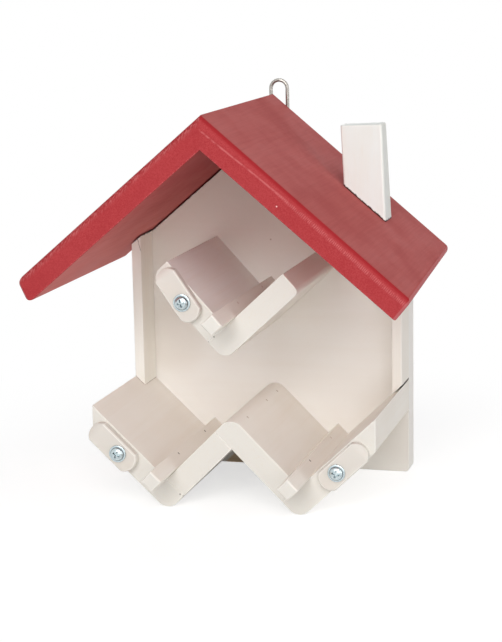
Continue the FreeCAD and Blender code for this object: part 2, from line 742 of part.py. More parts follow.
# Wire loop behind the ridge, held by a screw through each lug
nodes.append(hanging_loop("hanging_loop"))
hanger_screws = []
for name, side in (("left", -1), ("right", 1)):
    lug_x = f"loop_offset + {side} * {LOOP_RADIUS}"
    screw = hanger_screw(f"{name}_hanger_screw")
    place_from_back(screw, lug_x, f"{PANEL_BACK} + {LUG_SEAT}", LUG_HEIGHT)
    hanger_screws.append(screw)
    hole = plain_bore(f"{name}_hanger_bore", "screw_diameter", "hanger_screw_depth")
    place_from_back(hole, lug_x, PANEL_BACK, LUG_HEIGHT)
    panel_bores.append(hole)
nodes.append(group("hanger_screws", hanger_screws))

# Boards with all their bores
nodes.append(drilled("back_panel", panel, panel_bores))
for label, item in boards.items():
    nodes.append(drilled(label, item, bores[label]))
doc.recompute()

for item in doc.Objects:
    if "Invalid" in item.State or "Error" in item.State:
        raise RuntimeError(f"{item.Label} failed: {item.State}")
for node in nodes:
    if node.Shape.isNull() or not node.Shape.isValid():
        raise RuntimeError(f"{node.Label} has no sound shape")

os.makedirs("parts", exist_ok=True)
for node in nodes:
    node.Shape.exportStep(os.path.join("parts", f"{node.Label}.step"))
    box = node.Shape.BoundBox
    spans = ((box.XMin, box.XMax), (box.YMin, box.YMax), (box.ZMin, box.ZMax))
    reach = ", ".join(f"{letter} {low:.2f} {high:.2f}" for letter, (low, high) in zip("xyz", spans))
    print(f"{node.Label}: {len(node.Shape.Solids)} solids, {node.Shape.Volume:.0f} mm3, {reach}")
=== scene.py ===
"""Looks of the peanut butter feeder: eased whitewashed boards, stained roof, zinc screws and wire loop."""
import logging
import math
from dataclasses import dataclass
from enum import Enum
from typing import Callable, Sequence

import bmesh
import bpy
from bmesh.types import BMEdge, BMesh, BMVert
from bpy.types import ID, Material, Mesh, Node, NodeSocket, NodeTree, Object
from mathutils import Matrix, Vector, noise


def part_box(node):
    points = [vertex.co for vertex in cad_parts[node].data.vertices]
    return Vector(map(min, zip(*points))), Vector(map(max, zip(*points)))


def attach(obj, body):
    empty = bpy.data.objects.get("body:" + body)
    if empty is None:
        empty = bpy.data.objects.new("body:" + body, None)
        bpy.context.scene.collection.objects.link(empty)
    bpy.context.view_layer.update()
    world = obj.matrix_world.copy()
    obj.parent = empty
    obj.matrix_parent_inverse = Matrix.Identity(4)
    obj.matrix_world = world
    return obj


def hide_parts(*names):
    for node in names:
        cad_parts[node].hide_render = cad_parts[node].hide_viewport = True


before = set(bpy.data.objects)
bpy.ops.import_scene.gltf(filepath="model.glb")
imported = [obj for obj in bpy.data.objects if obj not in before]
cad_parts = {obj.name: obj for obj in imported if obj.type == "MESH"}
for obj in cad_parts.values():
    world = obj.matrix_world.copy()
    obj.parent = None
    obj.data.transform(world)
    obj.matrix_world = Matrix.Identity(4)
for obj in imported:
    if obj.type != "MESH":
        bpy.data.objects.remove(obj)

log = logging.getLogger("feeder")
MM = 0.001
FEEDER = "feeder"
PHOTO_HEIGHT = 642
SAME_PLACE = 1e-6
WHITE = (1.0, 1.0, 1.0)
ROOF_PITCH = math.radians(40.3)
ROOF_THICKNESS = 16.0
RIDGE = (-3.0, 0.0, 264.0)
PANEL_FRONT = 68.95
Triple = tuple[float, float, float]
Colour = Triple
Item = BMEdge | BMVert
Change = Callable[[BMesh], None]


def srgb(red: int, green: int, blue: int) -> Colour:
    """Linear colour of three display values from 0 to 255."""
    def linear(value: float) -> float:
        return value / 12.92 if value <= 0.04045 else ((value + 0.055) / 1.055) ** 2.4
    return tuple(linear(part / 255) for part in (red, green, blue))


def board_axes(side: int) -> tuple[Vector, Vector]:
    """Unit vectors up from a roof board's top and out from its eave; the left side is -1, the right 1."""
    rise = math.sin(ROOF_PITCH)
    run = math.cos(ROOF_PITCH)
    return Vector((side * rise, 0, run)), Vector((side * run, 0, -rise))


class Grain(Enum):
    """Direction in which a board's fibres run, as the turn that brings it onto X."""

    ACROSS = (0.0, 0.0, 0.0)
    DEPTH = (0.0, 0.0, math.pi / 2)
    UPRIGHT = (0.0, math.pi / 2, 0.0)

    @property
    def axis(self) -> Vector:
        """Unit vector along the fibres."""
        return {"ACROSS": Vector((1, 0, 0)), "DEPTH": Vector((0, 1, 0))}.get(self.name, Vector((0, 0, 1)))


class NodeKit:
    """Node tree with short ways to add nodes."""

    def __init__(self, tree: NodeTree) -> None:
        """Take a tree to add to."""
        self.nodes = tree.nodes
        self.links = tree.links

    def put(self, socket: NodeSocket, value: object) -> None:
        """Fill one input with another node's output or with a constant."""
        if isinstance(value, NodeSocket):
            self.links.new(value, socket)
        elif isinstance(value, tuple) and len(value) == 3 and socket.type == "RGBA":
            socket.default_value = (*value, 1)
        else:
            socket.default_value = value

    def add(self, kind: str, inputs: dict[str | int, object] | None = None, **settings: object) -> Node:
        """New node with values for its inputs and properties; shader nodes go without their prefix."""
        node = self.nodes.new(kind if "Node" in kind else f"ShaderNode{kind}")
        for name, value in settings.items():
            setattr(node, name, value)
        for key, value in (inputs or {}).items():
            self.put(node.inputs[key], value)
        return node

    def math(self, operation: str, first: object, second: object = 0.0,
             clamp: bool = False) -> NodeSocket:
        """Result of an operation on two values, kept from 0 to 1 if clamped."""
        return self.add("Math", {0: first, 1: second}, operation=operation, use_clamp=clamp).outputs[0]

    def product(self, *values: object) -> NodeSocket:
        """All the values multiplied together."""
        total = values[0]
        for value in values[1:]:
            total = self.math("MULTIPLY", total, value)
        return total

    def blend(self, factor: object, first: object, second: object) -> NodeSocket:
        """Mix of two colours, the factor being the share of the second."""
        return self.add("Mix", {0: factor, 6: first, 7: second}, data_type="RGBA").outputs[2]

    def remap(self, value: NodeSocket, low: float, high: float, first: float = 0.0,
              last: float = 1.0) -> NodeSocket:
        """Smooth step from the first value, at the low reading, to the last one, at the high reading."""
        inputs = {"Value": value, "From Min": low, "From Max": high, "To Min": first, "To Max": last}
        return self.add("MapRange", inputs, interpolation_type="SMOOTHSTEP").outputs["Result"]

    def seen_white(self) -> NodeSocket:
        """One for rays from the camera, off gloss or through glass, and otherwise zero."""
        path = self.add("LightPath").outputs
        direct = self.math("MAXIMUM", path["Is Camera Ray"], path["Is Glossy Ray"])
        return self.math("MAXIMUM", direct, path["Is Transmission Ray"])


class FinishTree(NodeKit):
    """Node tree of one material, with the nodes that the finishes share."""

    def __init__(self, name: str) -> None:
        """Start an empty material of this name."""
        self.material = bpy.data.materials.new(name)
        self.material.use_nodes = True
        super().__init__(self.material.node_tree)
        self.shader = self.nodes["Principled BSDF"]
        self.place = self.add("TexCoord").outputs["Object"]
        self.normal = self.add("TexCoord").outputs["Normal"]

    def turned(self, turn: Sequence[float], stretch: Sequence[float],
               shift: Sequence[float] = (0, 0, 0)) -> NodeSocket:
        """Object coordinates turned by Euler angles, stretched along the new axes and shifted."""
        onto = self.add("Mapping", {"Vector": self.place, "Rotation": turn}).outputs[0]
        return self.add("Mapping", {"Vector": onto, "Scale": stretch, "Location": shift}).outputs[0]

    def noise(self, vector: NodeSocket, scale: float, detail: float = 3.0, rough: float = 0.55,
              warp: float = 0.0) -> NodeSocket:
        """Noise at a point, about 0.5 on average; the scale is its frequency, the detail its octaves."""
        return self.add("TexNoise", {"Vector": vector, "Scale": scale, "Detail": detail, "Roughness": rough,
                                     "Distortion": warp}).outputs["Fac"]

    def clouds(self, scale: float, detail: float, shift: Sequence[float],
               rough: float = 0.55) -> NodeSocket:
        """Noise that runs alike in all directions, offset so that boards differ."""
        return self.noise(self.turned((0, 0, 0), (1, 1, 1), shift), scale, detail, rough)

    def along(self, vector: NodeSocket, axis: Sequence[float]) -> NodeSocket:
        """Length of a vector along an axis."""
        return self.add("VectorMath", {0: vector, 1: axis}, operation="DOT_PRODUCT").outputs["Value"]

    def facing(self, axis: Sequence[float]) -> NodeSocket:
        """How squarely the surface faces along an axis, from 0 to 1, whichever way."""
        return self.math("ABSOLUTE", self.along(self.normal, axis))

    def part(self, letter: str, vector: NodeSocket | None = None) -> NodeSocket:
        """One of the three parts of a vector, or of the object coordinates."""
        return self.add("SeparateXYZ", {0: vector or self.place}).outputs[letter]

    def near(self, spot: Sequence[float], reach: float) -> NodeSocket:
        """One close to a point, falling to zero just outside its reach."""
        away = self.add("VectorMath", {0: self.place, 1: spot}, operation="DISTANCE").outputs["Value"]
        return self.remap(away, reach * 1.4, reach * 0.6)

    def attribute(self, name: str) -> NodeSocket:
        """Value of a mesh attribute."""
        return self.add("Attribute", attribute_name=name).outputs["Fac"]

    def bump(self, height: NodeSocket, depth: float, strength: float = 1.0) -> None:
        """Relief of the surface, with a height from 0 to 1, a depth in metres and the share that shows."""
        node = self.add("Bump", {"Height": height, "Distance": depth, "Strength": strength})
        self.put(self.shader.inputs["Normal"], node.outputs[0])

    def layers(self, colour: object, over: Sequence[tuple[object, object]]) -> NodeSocket:
        """Colour with others put over it in turn, each given with the share that it covers."""
        for share, other in over:
            colour = self.blend(share, colour, other)
        return colour

    def covered(self, colour: NodeSocket, overlays: Sequence["Overlay"]) -> NodeSocket:
        """Colour with the overlays put on in turn."""
        return self.layers(colour, [(overlay.share(self), overlay.colour) for overlay in overlays])

    def surface(self, **values: object) -> None:
        """Set inputs of the main shader; underscores stand for spaces in their names."""
        for name, value in values.items():
            self.put(self.shader.inputs[name.replace("_", " ")], value)


class Overlay:
    """Something on a surface that covers the finish under it."""

    colour: Colour

    def share(self, tree: FinishTree) -> NodeSocket:
        """How far it covers a point, from 0 to 1."""
        raise NotImplementedError


@dataclass(frozen=True)
class Mark(Overlay):
    """Spot on a surface, such as a pin hole, a chip or a patch of painted shade, with its place and reach in
    millimetres.
    """

    place: Triple
    reach: float
    colour: Colour
    toward: Triple | None = None

    def share(self, tree: FinishTree) -> NodeSocket:
        """How far the spot covers a point."""
        share = tree.product(tree.near(Vector(self.place) * MM, self.reach * MM), 0.85)
        if self.toward:
            share = tree.product(share, tree.remap(tree.along(tree.normal, self.toward), 0.2, 0.6))
        return share


@dataclass(frozen=True)
class DarkJoint(Overlay):
    """Ragged dark line where a board meets a neighbour's plane, with places and width in millimetres."""

    place: Triple
    normal: Triple
    width: float
    colour: Colour = srgb(40, 24, 20)

    def share(self, tree: FinishTree) -> NodeSocket:
        """How far the line covers a point."""
        start = Vector(self.place).dot(Vector(self.normal)) * MM
        away = tree.math("SUBTRACT", tree.along(tree.place, self.normal), start)
        uneven = tree.product(tree.noise(tree.place, 330, 3, 0.6), 1.6 * self.width * MM)
        ragged = tree.math("ADD", uneven, 0.2 * self.width * MM)
        return tree.remap(tree.math("DIVIDE", away, ragged), 1.2, 0.75)


class Finish:
    """Wash, stain or metal of a piece."""

    name: str

    def paint(self, tree: FinishTree) -> NodeSocket:
        """Colour of the surface; sets its relief and gloss as well."""
        raise NotImplementedError

    def material(self) -> Material:
        """Finished material."""
        tree = FinishTree(self.name)
        tree.surface(Base_Color=self.paint(tree))
        return tree.material


@dataclass(frozen=True)
class WhiteWash(Finish):
    """Thin white wash on softwood, the grain showing faintly through it."""

    name: str
    grain: Grain
    shift: float = 0.0
    marks: tuple[Overlay, ...] = ()
    wash: Colour = srgb(246, 241, 233)
    end_wash: Colour = srgb(230, 226, 218)
    wood: Colour = srgb(228, 212, 190)
    pale_arris: Colour = srgb(248, 245, 239)
    show_through: float = 0.12
    relief: float = 0.12 * MM
    slot: str = "whitewashed_wood"

    def grain_marks(self, tree: FinishTree) -> tuple[NodeSocket, NodeSocket]:
        """Broad figure and fine fibres of the wood."""
        broad = tree.turned(self.grain.value, (4.0, 60.0, 60.0), (self.shift, self.shift, 0))
        fine = tree.turned(self.grain.value, (14.0, 900.0, 900.0), (self.shift, 0, self.shift))
        return tree.noise(broad, 1.6, 4, 0.6, 0.6), tree.noise(fine, 1.0, 2, 0.5)

    def paint(self, tree: FinishTree) -> NodeSocket:
        """Colour of the wash with the grain, the arrises and the marks."""
        figure, fibres = self.grain_marks(tree)
        clouds = tree.clouds(22, 3, (self.shift, 0, 0))
        pores = tree.noise(tree.place, 900, 2, 0.6)
        streaks = tree.product(tree.remap(figure, 0.35, 0.75), self.show_through)
        lines = tree.product(tree.remap(fibres, 0.52, 0.72), self.show_through * 0.6)
        end = tree.remap(tree.facing(self.grain.axis), 0.6, 0.9)
        tree.bump(tree.product(tree.math("ADD", fibres, figure), 0.5), self.relief, 0.55)
        tree.surface(Roughness=tree.remap(clouds, 0.2, 0.8, 0.5, 0.66), Specular_IOR_Level=0.3)
        colour = tree.layers(self.wash, (
            (tree.math("ADD", streaks, lines, clamp=True), self.wood),
            (tree.remap(clouds, 0.3, 0.8, 0, 0.08), self.wood),
            (end, self.end_wash),
            (tree.product(tree.remap(pores, 0.55, 0.75, 0, 0.22), end), self.wood),
            (tree.product(tree.attribute("arris"), 0.5), self.pale_arris)))
        return tree.covered(colour, self.marks)


@dataclass(frozen=True)
class PanelWash(WhiteWash):
    """Wash on the back panel, darker toward the roof as painted shade, its front under the lower cradles'
    peak in a wood tone that is partly bare wood and partly painted shade.
    """

    peak: float = 38.5 * MM
    soft: float = 1.5 * MM
    front: float = PANEL_FRONT * MM
    roof_shade_span: tuple[float, float] = (105 * MM, 200 * MM)
    wash: Colour = srgb(249, 246, 241)
    # wood tone under the cradles' peak, partly bare wood and partly painted shade
    raw: Colour = srgb(226, 202, 172)
    raw_dark: Colour = srgb(204, 178, 146)

    def paint(self, tree: FinishTree) -> NodeSocket:
        """Colour with painted shade toward the roof and a wood tone under the cradles' peak, partly bare
        wood and partly painted shade.
        """
        # painted shade of the roof: the wash gives way to the wood colour higher up the panel
        panel_shade = tree.remap(tree.part("Z"), *self.roof_shade_span, 0.0, 0.36)
        peak_line = tree.math("ADD", tree.math("ABSOLUTE", tree.part("X")), tree.part("Z"))
        facing = tree.remap(tree.part("Y"), self.front + 2 * self.soft, self.front + self.soft)
        # painted shade under the lower cradles' peak, in a bare wood tone
        under = tree.product(tree.remap(peak_line, self.peak + self.soft, self.peak - self.soft), facing)
        _, fibres = self.grain_marks(tree)
        bare_and_shaded = tree.blend(tree.remap(fibres, 0.4, 0.7, 0, 0.5), self.raw, self.raw_dark)
        return tree.layers(super().paint(tree), ((panel_shade, self.wood), (under, bare_and_shaded)))


@dataclass(frozen=True)
class SplitWash(WhiteWash):
    """Wash on a strip whose upper end has a hairline split."""

    top: tuple[float, float] = (-90.96, 163.46)
    foot: tuple[float, float] = (-89.0, 154.9)
    wobble: float = 0.8
    width: float = 0.32 * MM
    dark: Colour = srgb(120, 104, 86)

    def paint(self, tree: FinishTree) -> NodeSocket:
        """Colour with the split running down from the upper end."""
        lean = (self.top[0] - self.foot[0]) / (self.top[1] - self.foot[1])
        rise = tree.math("SUBTRACT", tree.part("Z"), self.foot[1] * MM)
        wobble = tree.noise(tree.place, 400, 2)
        line = tree.math("ADD", tree.product(rise, lean), (self.foot[0] - self.wobble / 2) * MM)
        line = tree.math("ADD", line, tree.product(wobble, self.wobble * MM))
        away = tree.math("ABSOLUTE", tree.math("SUBTRACT", tree.part("X"), line))
        split = tree.product(tree.remap(away, self.width, self.width * 0.3), tree.remap(rise, 0, 2 * MM),
                             tree.facing(Grain.DEPTH.axis), 0.7)
        return tree.blend(split, super().paint(tree), self.dark)


@dataclass(frozen=True)
class RedStain(Finish):
    """Red stain, dull on the long grain, deep on the end grain that soaks it up, worn at the front arris."""

    name: str
    side: int
    shift: float = 0.0
    marks: tuple[Mark, ...] = ()
    long_grain: Colour = srgb(184, 90, 87)
    long_dark: Colour = srgb(164, 74, 73)
    # painted light on the underside toward the eave
    lightened: Colour = srgb(212, 125, 121)
    end_grain: Colour = srgb(182, 66, 69)
    end_dark: Colour = srgb(168, 52, 56)
    # deep: darker red on the turned faces of the rounded front arris, painted shade
    deep: Colour = srgb(162, 34, 40)
    scuff: Colour = srgb(226, 134, 134)
    # eave: lighter pink on faces turned out toward the eave, a painted highlight
    eave: Colour = srgb(200, 120, 122)
    worn_line: tuple[float, float] = (6.4 * MM, 4.2 * MM)
    worn_width: tuple[float, float] = (0.8 * MM, 2.0 * MM)
    rib_pitch: float = 1.25 * MM
    stroke_angle: float = math.radians(50)
    stroke_depth: tuple[float, float] = (5.2 * MM, 1.2 * MM)
    relief: float = 0.2 * MM
    slot: str = "red_wood"

    def on_board(self, tree: FinishTree) -> tuple[NodeSocket, NodeSocket]:
        """How far a point is down from the ridge and how deep under the top face."""
        turn = Matrix.Rotation(-self.side * ROOF_PITCH, 3, "Y")
        start = turn @ Vector(RIDGE) * MM
        place = tree.turned((0, -self.side * ROOF_PITCH, 0), (1, 1, 1), -start)
        return tree.math("ABSOLUTE", tree.part("X", place)), tree.product(tree.part("Z", place), -1.0)

    def wear(self, tree: FinishTree, down: NodeSocket, depth: NodeSocket) -> NodeSocket:
        """Share of the pale wood that shows along the front arris."""
        middle = tree.remap(down, 0, 70 * MM, *self.worn_line)
        width = tree.remap(down, 55 * MM, 95 * MM, *self.worn_width)
        away = tree.math("DIVIDE", tree.math("ABSOLUTE", tree.math("SUBTRACT", depth, middle)), width)
        run = tree.turned((0, -self.side * ROOF_PITCH, 0), (1, 1, 1), (self.shift, 0, 0))
        broken = tree.remap(tree.noise(run, 210, 3, 0.7), 0.3, 0.55)
        wave = tree.math("SINE", tree.math("ADD", tree.product(down, math.tau / self.rib_pitch),
                                           tree.product(tree.noise(run, 320, 2), 8.0)))
        ribs = tree.remap(wave, -0.2, 0.8, 0.08, 0.42)
        ribbed = tree.remap(down, 60 * MM, 85 * MM)
        plain = tree.product(tree.math("SUBTRACT", 1.0, ribbed), 0.42)
        shape = tree.math("ADD", plain, tree.product(ribs, ribbed))
        return tree.product(tree.remap(away, 1.0, 0.25), broken, shape)

    def strokes(self, tree: FinishTree, depth: NodeSocket) -> NodeSocket:
        """Share of short pale strokes across the top arris."""
        lean = self.side * (self.stroke_angle - ROOF_PITCH)
        place = tree.turned((0, lean, 0), (1000, 1000, 130), (self.shift, 0, 0))
        fuzz = tree.remap(tree.noise(place, 1.0, 3, 0.6), 0.42, 0.64)
        return tree.product(fuzz, tree.remap(depth, *self.stroke_depth), 0.46)

    def long_face(self, tree: FinishTree, down: NodeSocket, fibres: NodeSocket,
                  clouds: NodeSocket) -> NodeSocket:
        """Colour along the grain, on the underside lighter toward the eave as painted light and darker near
        the ridge as painted shade.
        """
        upward, _ = board_axes(self.side)
        under = tree.remap(tree.along(tree.normal, -upward), 0.5, 0.9)
        # painted light on the underside toward the eave
        lightened = tree.product(under, tree.remap(down, 30 * MM, 150 * MM),
                             tree.remap(fibres, 0.3, 0.7, 1.0, 0.75))
        # painted shade on the underside near the ridge
        ridge_shade = tree.product(under, tree.remap(down, 75 * MM, 20 * MM), 0.75)
        return tree.layers(self.long_grain, (
            (tree.remap(fibres, 0.34, 0.7, 0.05, 0.42), self.long_dark),
            (tree.remap(clouds, 0.42, 0.75, 0, 0.4), self.long_dark),
            (lightened, self.lightened),
            (ridge_shade, self.long_dark)))

    def sawn_end(self, tree: FinishTree, pores: NodeSocket, clouds: NodeSocket) -> NodeSocket:
        """Colour of the end grain."""
        return tree.layers(self.end_dark, (
            (tree.remap(pores, 0.34, 0.66), self.end_grain),
            (tree.remap(clouds, 0.45, 0.75, 0, 0.4), self.end_dark)))

    def paint(self, tree: FinishTree) -> NodeSocket:
        """Colour of both grains with the wear and the marks."""
        down, depth = self.on_board(tree)
        grain = tree.turned(Grain.DEPTH.value, (22.0, 620.0, 620.0), (self.shift, 0, 0))
        fibres = tree.noise(grain, 1.0, 4, 0.62)
        pores = tree.clouds(1300, 4, (0, self.shift, 0), 0.7)
        clouds = tree.clouds(30, 4, (self.shift, 0, 0))
        front = tree.facing(Grain.DEPTH.axis)
        end = tree.remap(front, 0.12, 0.34)
        worn = self.wear(tree, down, depth) if self.side > 0 else self.strokes(tree, depth)
        _, outward = board_axes(self.side)
        colour = tree.layers(self.long_face(tree, down, fibres, clouds), (
            (end, self.sawn_end(tree, pores, clouds)),
            # painted shade on the rounded front arris, where the surface turns away from the front
            (tree.product(end, tree.remap(front, 0.92, 0.62), 0.8), self.deep),
            (tree.product(worn, end), self.scuff),
            # painted highlight on faces turned out toward the eave
            (tree.product(tree.remap(tree.facing(outward), 0.25, 0.6), 0.6), self.eave),
            (tree.product(tree.attribute("arris"), tree.remap(pores, 0.4, 0.7, 0.0, 0.45)), self.scuff)))
        relief = tree.add("Mix", {0: end, 2: fibres, 3: pores})
        tree.bump(relief.outputs[0], self.relief, 0.5)
        tree.surface(Roughness=tree.remap(clouds, 0.2, 0.8, 0.62, 0.78), Specular_IOR_Level=0.12)
        return tree.covered(colour, self.marks)


@dataclass(frozen=True)
class Steel(Finish):
    """Bright or dull steel with a fine uneven polish."""

    name: str
    colour: Colour
    dull: Colour
    low_rough: float
    high_rough: float
    recess_shade: Colour = srgb(66, 80, 86)
    marks: tuple[Mark, ...] = ()
    relief: float = 0.02 * MM

    def paint(self, tree: FinishTree) -> NodeSocket:
        """Colour, with painted shade where a mesh marks a recess."""
        cloud = tree.noise(tree.place, 900, 3, 0.6)
        tree.bump(tree.clouds(2400, 2, (3, 1, 2)), self.relief, 0.5)
        colour = tree.layers(self.colour, (
            (tree.remap(cloud, 0.35, 0.75), self.dull),
            # painted shade in the screw's recess, on its steep walls and in the flange's groove
            (tree.product(tree.attribute("recess"), 0.8), self.recess_shade)))
        rough = tree.remap(cloud, 0.25, 0.75, self.low_rough, self.high_rough)
        tree.surface(Metallic=1.0, Roughness=rough)
        return tree.covered(colour, self.marks)


def merged(node: str) -> BMesh:
    """Shape of a node's solids, each corner once."""
    shape = bmesh.new()
    shape.from_mesh(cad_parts[node].data)
    bmesh.ops.remove_doubles(shape, verts=shape.verts, dist=SAME_PLACE)
    return shape


def connected(start: Item, left: set[Item], neighbours: Callable[[Item], list[Item]]) -> list[Item]:
    """Edges or corners that hang together with the first one, taken out of the set of those left."""
    chain = [start]
    for item in chain:
        near = [other for other in neighbours(item) if other in left]
        left.difference_update(near)
        chain += near
    return chain


def finished(shape: BMesh, name: str) -> Mesh:
    """New mesh of a shape, which is freed."""
    mesh = bpy.data.meshes.new(name)
    shape.to_mesh(mesh)
    shape.free()
    return mesh


def skin(name: str, rings: Sequence[Sequence[Triple]]) -> Mesh:
    """Closed mesh that goes from ring to ring, all with as many points, in metres."""
    shape = bmesh.new()
    rows = [[shape.verts.new(spot) for spot in ring] for ring in rings]
    shape.faces.new(rows[0])
    shape.faces.new(rows[-1][::-1])
    for upper, lower in zip(rows, rows[1:]):
        for step in range(len(upper)):
            after = (step + 1) % len(upper)
            shape.faces.new((upper[step], lower[step], lower[after], upper[after]))
    bmesh.ops.recalc_face_normals(shape, faces=shape.faces)
    return finished(shape, name)


def new_object(name: str, data: ID) -> Object:
    """Object with this mesh, lamp or camera in the scene's collection."""
    item = bpy.data.objects.new(name, data)
    bpy.context.scene.collection.objects.link(item)
    return item


def dress(item: Object, material: Material) -> None:
    """Give an object one material all over."""
    item.data.materials.clear()
    item.data.materials.append(material)


@dataclass(frozen=True)
class Easing:
    """How the sharp arrises of a board are taken off by sanding."""

    width: float = 0.6 * MM
    segments: int = 3
    thinnest: float = 3 * MM
    sharp: float = math.radians(20)
    flat: float = math.radians(0.6)
    crease: float = math.radians(40)
    keep: Callable[[Vector], bool] = lambda place: False

    def copy(self, node: str, before: Change | None = None, after: Change | None = None) -> Object:
        """Copy of a solid with its arrises rounded.

        Args:
            node: name of the solid.
            before: change to make before the arrises are rounded.
            after: change to make afterwards.

        Returns:
            The new object, whose faces have an attribute that marks the rounded ones.
        """
        shape = merged(node)
        bmesh.ops.dissolve_limit(shape, angle_limit=self.flat, verts=shape.verts, edges=shape.edges)
        if before:
            before(shape)
        mark = shape.faces.layers.float.new("arris")
        done = bmesh.ops.bevel(shape, geom=self.arrises(shape), offset=self.width, offset_type="OFFSET",
                               affect="EDGES", segments=self.segments, profile=0.5, clamp_overlap=False)
        for face in done["faces"]:
            face[mark] = 1.0
        if after:
            after(shape)
        for face in shape.faces:
            face.smooth = True
        for edge in shape.edges:
            edge.smooth = edge.smooth and edge.calc_face_angle(0.0) < self.crease
        item = new_object(f"{node}_wood", finished(shape, f"{node}_wood"))
        even = item.modifiers.new("even_normals", "WEIGHTED_NORMAL")
        even.weight = 100
        even.keep_sharp = True
        return item

    def arrises(self, shape: BMesh) -> list[BMEdge]:
        """Sharp edges of the board itself; the rims of bores and nail holes stay sharp."""
        left = {edge for edge in shape.edges if edge.calc_face_angle(0.0) > self.sharp}
        chosen = []
        for start in shape.edges:
            if start not in left:
                continue
            left.discard(start)
            chain = connected(start, left, self.neighbours)
            spots = [vertex.co for edge in chain for vertex in edge.verts]
            rim = min(max(axis) - min(axis) for axis in zip(*spots)) <= self.thinnest
            for edge in chain:
                if rim or all(self.keep(vertex.co) for vertex in edge.verts):
                    edge.smooth = False
                else:
                    chosen.append(edge)
        return chosen

    @staticmethod
    def neighbours(edge: BMEdge) -> list[BMEdge]:
        """Edges that meet an edge at one of its ends."""
        return [other for vertex in edge.verts for other in vertex.link_edges]


@dataclass(frozen=True)
class Trim:
    """Small move of chosen corners of a board, such as a sliver off one end that leaves a dark joint."""

    chosen: Callable[[Vector], bool]
    move: Triple

    def __call__(self, shape: BMesh) -> None:
        """Move the chosen corners of a board."""
        for vertex in shape.verts:
            if self.chosen(vertex.co):
                vertex.co += Vector(self.move)


@dataclass(frozen=True)
class Rounding:
    """Arc from one direction to another that a solid is cut back to, as a row of narrow flats."""

    centre: Vector
    radius: float
    first: Vector
    second: Vector
    steps: int = 8

    @classmethod
    def between(cls, first: tuple[Vector, Vector], second: tuple[Vector, Vector],
                radius: float) -> "Rounding":
        """Arc of some radius that touches two faces, each given by a point and its normal."""
        start, normal = first
        other, toward = second
        slide = (toward - toward.dot(normal) * normal).normalized()
        corner = start + slide * ((other - start).dot(toward) / slide.dot(toward))
        inward = (normal + toward) / (1 + normal.dot(toward))
        return cls(corner - radius * inward, radius, normal, toward)

    def cut(self, shape: BMesh) -> None:
        """Cut a solid back to the arc."""
        for step in range(self.steps):
            normal = self.first.slerp(self.second, (step + 0.5) / self.steps)
            done = bmesh.ops.bisect_plane(shape, geom=[*shape.verts, *shape.edges, *shape.faces], dist=1e-7,
                                          plane_co=self.centre + normal * self.radius, plane_no=normal,
                                          clear_outer=True)
            rim = [item for item in done["geom_cut"] if isinstance(item, BMEdge)]
            bmesh.ops.edgeloop_fill(shape, edges=rim)


def put_in_place(item: Object, node: str, body: str) -> None:
    """Let a piece stand for a solid and ride on its body."""
    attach(item, body)
    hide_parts(node)
    log.info("%s stands for %s on %s", item.name, node, body)


def set_board(easing: Easing, node: str, finish: WhiteWash | RedStain, before: Change | None = None,
              after: Change | None = None, body: str = FEEDER) -> None:
    """Copy a solid with its arrises rounded, dress the copy and let it stand for the solid.

    Args:
        easing: how the arrises are rounded.
        node: name of the solid.
        finish: its wash or stain.
        before: change to make before the arrises are rounded.
        after: change to make afterwards.
        body: name of the body that it rides on.
    """
    board = easing.copy(node, before, after)
    dress(board, finish.material())
    put_in_place(board, node, body)


@dataclass
class House:
    """Back panel and the two narrow walls before it, with dark joints under the roof and on the right arm,
    and painted shade on the panel front.
    """

    easing: Easing = Easing()
    joint: float = 1.3 * MM
    eave_height: float = 150 * MM
    foot_height: float = 100 * MM
    foot: DarkJoint = DarkJoint((89.5, 0.0, 60.65), (-0.688, 0.0, 0.725), 1.0, srgb(66, 48, 38))
    left_foot: DarkJoint = DarkJoint((-89.5, 0.0, 60.65), (0.688, 0.0, 0.725), 0.45, srgb(150, 128, 108))
    panel_end: Colour = srgb(246, 243, 238)
    bright: Colour = srgb(255, 252, 244)
    # painted shade on the panel front, at its lower right corner and beside the left strip
    panel_shade: tuple[Mark, ...] = (Mark((97.0, PANEL_FRONT, 36.0), 34.0, srgb(233, 227, 219), (0, -1, 0)),
                              Mark((-78.0, PANEL_FRONT, 92.0), 26.0, srgb(238, 232, 224), (0, -1, 0)))
    smudge: Mark = Mark((-1.8, PANEL_FRONT, 163.9), 0.6, srgb(196, 184, 170))

    def build(self) -> None:
        """Make and dress the panel and the walls."""
        upward, _ = board_axes(-1)
        line = DarkJoint(tuple(Vector(RIDGE) - ROOF_THICKNESS * upward), tuple(-upward), 1.25)
        down = (0, 0, -self.joint)
        up = (0, 0, self.joint)
        panel = PanelWash("panel_wash", Grain.ACROSS, 0.3, (*self.panel_shade, self.smudge, line),
                          end_wash=self.panel_end, show_through=0.06)
        left = SplitWash("left_strip_wash", Grain.UPRIGHT, 1.7, (line, self.left_foot), self.bright)
        right = WhiteWash("right_strip_wash", Grain.UPRIGHT, 2.7, (self.foot,))
        set_board(self.easing, "back_panel", panel, Trim(self.panel_edge, down))
        set_board(self.easing, "left_wall_strip", left, Trim(self.strip_top, down))
        set_board(self.easing, "right_wall_strip", right, Trim(self.strip_foot, up))

    def panel_edge(self, place: Vector) -> bool:
        """Whether a point is on the panel's front edge under the left board."""
        return place.z > self.eave_height and place.x < 0 and place.y < (PANEL_FRONT + 1) * MM

    def strip_top(self, place: Vector) -> bool:
        """Whether a point is on the front edge of the left wall's top."""
        return place.z > self.eave_height and place.y < (PANEL_FRONT - 1) * MM

    def strip_foot(self, place: Vector) -> bool:
        """Whether a point is on the front edge of the right wall's foot."""
        return place.z < self.foot_height and place.y < (PANEL_FRONT - 1) * MM


